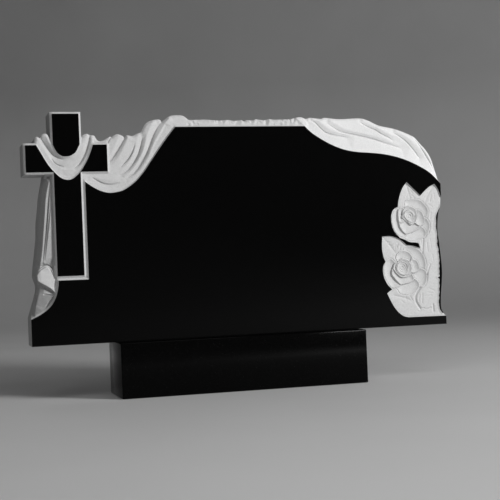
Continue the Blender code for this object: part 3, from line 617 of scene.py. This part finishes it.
def grid(box, step):
    """Staggered points that fill a box."""
    low, high = box.min(axis=0), box.max(axis=0)
    rows = []
    for row, z in enumerate(np.arange(low[1], high[1], step * math.sqrt(3) / 2)):
        x = np.arange(low[0] + step / 2 * (row % 2), high[0], step)
        rows.append(np.column_stack([x, np.full(len(x), z)]))
    return np.vstack(rows)


hems = [smooth(TAIL_HEM, HEM_STEP), smooth(SWAG_HEM, HEM_STEP),
        straight([(411, 583), (787, 583)], HEM_STEP), smooth(DRAPE_HEM, HEM_STEP),
        smooth(SHROUD_OUTER, HEM_STEP), smooth(SHROUD_INNER, HEM_STEP), rose_line]
cross_lines = [straight(closed(cross_outline(margin)), 4) for margin in (0, CHAMFER, 2 * CHAMFER)]
ledge_line = smooth(LEDGE, HEM_STEP)
lines = hems + [closed(outline)] + cross_lines + [ledge_line]
fixed = np.vstack(lines)
close = np.empty((0, 2))
for row in HEM_ROWS:
    stock = np.vstack([beside(line, row) for line in hems])
    close = np.vstack([close, thinned(stock, np.vstack([fixed, close]), HEM_GAP)])
fill = thinned(grid(np.array([(-10, 20), (1200, 616)]), STEP), np.vstack([fixed, close]), FILL_GAP)
loose = np.vstack([close, fill])
loose = loose[inside(loose, outline)]
loose = loose[~is_polished(loose)]
points, triangles = triangulated(np.vstack([fixed, loose]), chained(lines), 0.05)
middles = points[triangles].mean(axis=1)
triangles = triangles[inside(middles, outline) | inside(middles, cross_outline(CHAMFER))]
polished = is_polished(points[triangles].mean(axis=1))

# The rims between polished and carved stone, and every point's distance to them
sides = {}
for index, triangle in enumerate(triangles):
    for a, b in ((0, 1), (1, 2), (2, 0)):
        edge = (triangle[a], triangle[b])
        sides.setdefault((min(edge), max(edge)), []).append(index)
rims = [edge for edge, owners in sides.items()
        if len(owners) == 2 and polished[owners[0]] != polished[owners[1]]]
samples = np.vstack([straight(points[list(edge)], RIM_STEP) for edge in rims])
tree = kdtree.KDTree(len(samples))
for index, (x, z) in enumerate(samples):
    tree.insert((x, z, 0), index)
tree.balance()
carved = np.unique(triangles[~polished])
distance = np.zeros(len(points))
distance[carved] = [tree.find((x, z, 0))[2] for x, z in points[carved]]

# The carving's depth, piece by piece
depth = np.full(len(points), GROUND)
within = {name: inside(points, region) for name, region in regions.items()}
for name, parts in CLOTH.items():
    here = within[name]
    depth[here] = cloth(points[here], regions[name], *parts)
here = within["roses"]
depth[here] = LEAF_DEPTH - rose_height(points[here])
chance = np.random.default_rng(7)
chips = np.column_stack([chance.uniform(405, 795, CHIPS), chance.uniform(588, 625, CHIPS)])
pitched = [straight(line, 6) for line in ROUGH_LINES]
cuts = list(chance.uniform(*CHIP_DEPTHS, (CHIPS, 1)))
cuts += [np.full(len(line), cut) for line, cut in zip(pitched, ROUGH_CUTS)]
here = within["rough"]
depth[here] = cut_between(points[here], [np.array([chip]) for chip in chips] + pitched, cuts)

# The carver's rounding: every carved point settles towards its neighbours
pairs = np.array(list(sides))
count = np.bincount(pairs.ravel(), minlength=len(points))
for turn in range(max(SOFT.values())):
    total = np.bincount(pairs[:, 0], depth[pairs[:, 1]], len(points))
    total += np.bincount(pairs[:, 1], depth[pairs[:, 0]], len(points))
    for name, turns in SOFT.items():
        if turn < turns:
            here = within[name] & (count > 0)
            depth[here] = STAYS * depth[here] + SETTLES * total[here] / count[here]

# Creases: a narrow cut along the floor of each groove between the folds
on_cloth = ~within["roses"] & ~within["rough"]
for folds, _, _ in CLOTH.values():
    for line, values in folds:
        if min(values) >= CREASE_FROM or max(values) >= CREASE_DEEP:
            low, high = np.min(line, axis=0) - 8, np.max(line, axis=0) + 8
            near = np.flatnonzero(((points > low) & (points < high)).all(axis=1) & on_cloth)
            edge, along = distance_to(points[near], smooth(line, 3))
            fade = np.sin(np.pi * along) ** 0.6
            depth[near] += CREASE_CUT * fade * np.exp(-(edge / CREASE_WIDTH) ** 2)

# The fall at the slab's edge, and the dotted groove
edge, _ = distance_to(points, closed(outline))
depth += np.where(within["roses"], ROSE_EDGE_FALL * np.clip(1 - edge / ROSE_EDGE_WIDTH, 0, 1),
                  EDGE_FALL * np.clip(1 - edge / EDGE_WIDTH, 0, 1) ** 2)
dots = 0.5 + 0.5 * np.sin(points[:, 0] * 1.9) * np.sin(points[:, 1] * 2.1)
dots *= np.exp(-((distance - DOTS_FROM) / DOTS_WIDTH) ** 2)
depth += np.where(within["roses"], DOTS_CUT * dots, 0)

# The wall or chamfer that stands between the polished face and the carving
beside_cross = inside(points, cross_outline(2.5 * CHAMFER))
chamfer = np.where(distance < CHAMFER, distance, CHAMFER + WALL_SLOPE * (distance - CHAMFER))
wall = np.where(beside_cross, chamfer, WALL_SLOPE * distance)
depth = np.clip(np.minimum(depth, wall), 0, None)
depth[np.unique(triangles[polished])] = 0

# The ledge: the carving banks up to its rim, and the ledge itself drops a little behind it
ledge_outline = np.vstack([ledge_line, [(FAR, 33), (FAR, 350)]])
ledge = inside(points, ledge_outline) & within["roses"]
away, _ = distance_to(points, ledge_line)
carving = within["roses"] & ~ledge
depth[carving] = np.minimum(depth[carving], LEDGE_RIM + LEDGE_BANK * away[carving])
depth[ledge] = np.minimum(LEDGE_RIM + LEDGE_WALL * away[ledge], LEDGE_DEPTH)
ledge_faces = ledge[triangles].any(axis=1) & (away[triangles].mean(axis=1) > LEDGE_POLISH_FROM)
polished |= ledge_faces & inside(points[triangles].mean(axis=1), ledge_outline)

# The slab: the face, its sides in rings, the eased back edge and the flat back
left_end = CENTRE_LINE - SPAN / 2 - CHAMFER
middle = (min(0, left_end) + WIDTH) / 2
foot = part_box("tablet")[0][2] / MM
borders = {}
for index, triangle in enumerate(triangles):
    for a, b in ((0, 1), (1, 2), (2, 0)):
        if len(sides[min(triangle[a], triangle[b]), max(triangle[a], triangle[b])]) == 1:
            borders[triangle[a]] = triangle[b]
start = next(iter(borders))
loop = [start]
while borders[loop[-1]] != start:
    loop.append(borders[loop[-1]])
loop = np.array(loop)
rim = points[loop]
forward, backward = np.roll(rim, -1, axis=0) - rim, rim - np.roll(rim, 1, axis=0)
inward = np.array([(-(f[1] / np.hypot(*f) + b[1] / np.hypot(*b)), f[0] / np.hypot(*f) + b[0] / np.hypot(*b))
                   for f, b in zip(forward, backward)])
inward /= np.maximum(np.linalg.norm(inward, axis=1), 0.3)[:, None]
crest = rim[(rim[:, 0] > HUMPS[0] - 2) & (rim[:, 0] < HUMPS[1] + 2) & (rim[:, 1] > HUMPS_ABOVE)]


def behind(x, z, deep):
    """Height of the slab's top behind a point of the cloth's crest: the humps taper as they go back."""
    if not (HUMPS[0] < x < HUMPS[1] and z > HUMPS_ABOVE):
        return z
    near = crest[(crest[:, 0] <= x) & (crest[:, 0] >= x - TAPER * deep)]
    return min(z, near[:, 1].min()) if len(near) else z


stone = [(x, d, z) for (x, z), d in zip(points, depth)]
ring_starts = []
for level in LEVELS:
    ring_starts.append(len(stone))
    deep = depth[loop] + level * (THICKNESS - BACK_ARRIS - depth[loop])
    stone += [(x, d, behind(x, z, d)) for (x, z), d in zip(rim, deep)]
ring_starts.append(len(stone))
back_rim = np.array([(x, behind(x, z, THICKNESS)) for x, z in rim]) + BACK_ARRIS * inward
stone += [(x, THICKNESS, z) for x, z in back_rim]
faces = [tuple(triangle) for triangle in triangles]
corner = np.column_stack([points[:, 0], depth, points[:, 1]])[triangles]
facing = np.cross(corner[:, 1] - corner[:, 0], corner[:, 2] - corner[:, 0])
facing /= np.maximum(np.linalg.norm(facing, axis=1), 1e-9)[:, None]
from_rim = distance[triangles].min(axis=1)
# Painted shade: the darker sawn tones go on the hanging cloth where it faces away from the key light or lies in
# the cross's shade
turned = (facing[:, 0] * np.sign(-facing[:, 1]) < TURNED_AWAY) & (from_rim > TURNED_SHADE_FROM)
level_of = points[triangles].mean(axis=1)[:, 1]
hanging = ((level_of < TURNED_FOLD[0]) | (level_of > TURNED_FOLD[1])) & (from_rim > HEM_FROM)
painted_shade = (within["tail"] & ~within["shroud"])[triangles].all(axis=1) & (turned | hanging)
# Painted light: the drape gets paler tones, with a finer bump, for the stronger light that falls on it
fine_and_lit = within["drape"][triangles].all(axis=1)
POLISHED, CARVED_AND_LIT_UNDERSIDE, SAWN_AND_SHADE, FINE_AND_LIT = range(4)
kinds = np.where(polished, POLISHED, np.where(painted_shade, SAWN_AND_SHADE, np.where(fine_and_lit, FINE_AND_LIT, CARVED_AND_LIT_UNDERSIDE))).tolist()
size = len(loop)
rings = [loop] + [np.arange(start, start + size) for start in ring_starts]
# Side faces that face down get the paler carved tones as painted light, standing in for the light bounced up
# from the floor; the back arris is polished and the other sides are sawn
for number, (front, back) in enumerate(zip(rings[:-1], rings[1:])):
    for i in range(size):
        j = (i + 1) % size
        faces.append((front[j], front[i], back[i], back[j]))
        painted_underside_light = rim[j, 0] - rim[i, 0] > abs(rim[j, 1] - rim[i, 1]) and rim[i, 1] > 1
        kinds.append(POLISHED if number == len(LEVELS) else CARVED_AND_LIT_UNDERSIDE if painted_underside_light else SAWN_AND_SHADE)
back_points, back_triangles = triangulated(back_rim, [(i, (i + 1) % size) for i in range(size)], 0.001)
keep = inside(back_points[back_triangles].mean(axis=1), back_rim)
for triangle in back_triangles[keep]:
    faces.append(tuple(int(rings[-1][number]) for number in triangle[::-1]))
    kinds.append(POLISHED)
used = sorted({int(number) for face in faces for number in face})
place = {old: new for new, old in enumerate(used)}
stone = (np.array(stone)[used] + (-middle, -THICKNESS / 2, foot)) * MM
mesh = bpy.data.meshes.new("carved_tablet")
mesh.from_pydata([tuple(point) for point in stone], [],
                 [[place[int(number)] for number in face] for face in faces])
mesh.update()


SPECKS = 420  # to the metre: drawn at 2.4 mm, coarser than the real grain, so that it shows
BURR_MARKS = 700  # to the metre, so 1.4 mm each
BURR_DEPTH = 0.6 * MM
# The pale and the darker tone of each finish. The sawn tones also paint shade on the cloth that hangs below
# the left arm, and the fine tones are paler to paint the stronger light that falls on the drape.
CARVED_TONES = ("#cacaca", "#b5b5b5")
SAWN_AND_SHADE_TONES = ("#adadad", "#959595")
FINE_AND_LIT_TONES = ("#dddddd", "#cacaca")


def frosted_stone(name, pale, dark, bump):
    """Gabbro bruised by the burr: the crushed crystals scatter light, so the black stone turns pale,
    with a fine salt and pepper grain."""
    made, tree, shader, place = new_material(name)
    speck = node(tree, "ShaderNodeTexNoise",
                 {"Vector": (place, "Object"), "Scale": SPECKS, "Detail": 4, "Roughness": 0.7})
    tone = node(tree, "ShaderNodeValToRGB", {"Fac": (speck, "Fac")}, [(0.3, dark), (0.6, pale)])
    tree.links.new(tone.outputs["Color"], shader.inputs["Base Color"])
    grain = node(tree, "ShaderNodeTexNoise",
                 {"Vector": (place, "Object"), "Scale": BURR_MARKS, "Detail": 3})
    rough = node(tree, "ShaderNodeBump",
                 {"Height": (grain, "Fac"), "Distance": BURR_DEPTH, "Strength": bump})
    tree.links.new(rough.outputs["Normal"], shader.inputs["Normal"])
    shader.inputs["Roughness"].default_value = 0.85
    shader.inputs["Specular IOR Level"].default_value = 0.3
    return made


# In the order of POLISHED, CARVED_AND_LIT_UNDERSIDE, SAWN_AND_SHADE and FINE_AND_LIT
mesh.materials.append(polished_gabbro("black gabbro, mirror polished face", 0.05))
# Carved stone, and painted light on the down-facing sides
mesh.materials.append(frosted_stone("gabbro, burr carved and frosted", *CARVED_TONES, 0.5))
# The sawn sides, and painted shade on the cloth that hangs below the left arm
mesh.materials.append(frosted_stone("gabbro, sawn and bush hammered edge", *SAWN_AND_SHADE_TONES, 0.8))
# Paler tones that paint the stronger light on the drape, with a finer bump
mesh.materials.append(frosted_stone("gabbro, burr carved, rubbed and frosted fine", *FINE_AND_LIT_TONES, 0.4))
mesh.polygons.foreach_set("material_index", kinds)
tablet = bpy.data.objects.new("carved_tablet", mesh)
bpy.context.scene.collection.objects.link(tablet)
bpy.ops.object.select_all(action="DESELECT")
tablet.select_set(True)
bpy.context.view_layer.objects.active = tablet
bpy.ops.object.shade_smooth_by_angle(angle=math.radians(38))
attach(tablet, "root")
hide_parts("tablet")


# STUDIO
# A pale floor that curves up into the backdrop on all sides, a soft key light from the right, a
# weaker fill from the left and above, and the camera where the picture was taken from.
# The cove's profile, in metres out from the middle and up
COVE = [(0, 0), (2.5, 0), (4.5, 0), (5.6, 0.12), (6.4, 0.5), (6.9, 1.2), (7.1, 2.2), (7.1, 4.5), (7, 7)]
# The ramp runs from the pale floor paint to a darker grey up the wall, which is painted shade
FLOOR_PAINT = "#d3d3d3"
WALL_SHADE_PAINT = "#989898"
ROOM = "#6c6c6c"
bpy.ops.object.select_all(action="DESELECT")
profile = bpy.data.meshes.new("studio_cove")
curve = smooth(COVE, 0.25)
profile.from_pydata([(r, 0, z) for r, z in curve], [(i, i + 1) for i in range(len(curve) - 1)], [])
cove = bpy.data.objects.new("studio_cove", profile)
bpy.context.scene.collection.objects.link(cove)
turned = cove.modifiers.new("turned", "SCREW")
turned.steps = turned.render_steps = 96
turned.use_smooth_shade = True
turned.use_merge_vertices = True
turned.merge_threshold = 0.0001
cove.select_set(True)
bpy.context.view_layer.objects.active = cove
bpy.ops.object.modifier_apply(modifier=turned.name)
paint_and_shade, tree, shader, place = new_material("studio cove, matt grey paint")
# Painted shade and light: the paint darkens up the wall and lightens towards the right, where the key light
# stands, in place of the light's fall-off. The noise is random mottle.
parts = node(tree, "ShaderNodeSeparateXYZ", {"Vector": (place, "Object")})
mottle = node(tree, "ShaderNodeTexNoise", {"Vector": (place, "Object"), "Scale": 1.5, "Detail": 2})
shade_up_wall = node(tree, "ShaderNodeMapRange", {"Value": (parts, "Z"), "From Max": 2.0, "To Max": 0.85})
light_to_right = node(tree, "ShaderNodeMapRange", {"Value": (parts, "X"), "From Max": 4.0, "To Max": -0.45})
both = node(tree, "ShaderNodeMath", {0: (shade_up_wall, "Result"), 1: (light_to_right, "Result")}, operation="ADD")
mixed = node(tree, "ShaderNodeMath", {0: (mottle, "Fac"), 1: 0.2, 2: (both, "Value")},
             operation="MULTIPLY_ADD")
shade = node(tree, "ShaderNodeValToRGB", {"Fac": (mixed, "Value")}, [(0.0, FLOOR_PAINT), (1.0, WALL_SHADE_PAINT)])
tree.links.new(shade.outputs["Color"], shader.inputs["Base Color"])
shader.inputs["Roughness"].default_value = 0.9
shader.inputs["Specular IOR Level"].default_value = 0.1
cove.data.materials.append(paint_and_shade)


def area_light(name, place, target, size, power):
    """A square soft box that looks at a target."""
    lamp = bpy.data.lights.new(name, "AREA")
    lamp.shape = "SQUARE"
    lamp.size = size
    lamp.energy = power
    made = bpy.data.objects.new(name, lamp)
    bpy.context.scene.collection.objects.link(made)
    made.location = place
    made.rotation_euler = (Vector(target) - Vector(place)).to_track_quat("-Z", "Y").to_euler()


TABLET_MIDDLE = (0, 0, 0.4)
area_light("key", (3.6, -4.2, 2.1), TABLET_MIDDLE, 1.5, 300)
area_light("fill", (-2.2, -3.6, 3.4), TABLET_MIDDLE, 1.6, 14)
area_light("front", (0.3, -3.5, 4.0), TABLET_MIDDLE, 2.0, 20)
area_light("back", (-1, 4, 3.5), TABLET_MIDDLE, 2.0, 16)

world = bpy.data.worlds.new("studio")
world.use_nodes = True
world.node_tree.nodes["Background"].inputs["Color"].default_value = linear(ROOM)
world.node_tree.nodes["Background"].inputs["Strength"].default_value = 0.16
bpy.context.scene.world = world
bpy.context.scene.view_settings.view_transform = "Standard"

CAMERA_PLACE = (-0.8812, -3.1865, 0.3269)
YAW, PITCH, ROLL = math.radians(15.910), math.radians(1.051), math.radians(-2.344)
forward = Vector((math.sin(YAW) * math.cos(PITCH), math.cos(YAW) * math.cos(PITCH), math.sin(PITCH)))
level = Vector((math.cos(YAW), -math.sin(YAW), 0))
upright = level.cross(forward)
right = level * math.cos(ROLL) + upright * math.sin(ROLL)
up = upright * math.cos(ROLL) - level * math.sin(ROLL)
lens = bpy.data.cameras.new("camera")
lens.lens = 84.0
lens.sensor_width = 36
camera = bpy.data.objects.new("camera", lens)
camera.matrix_world = Matrix.Translation(CAMERA_PLACE) @ Matrix((right, up, -forward)).transposed().to_4x4()
bpy.context.scene.collection.objects.link(camera)
bpy.context.scene.camera = camera
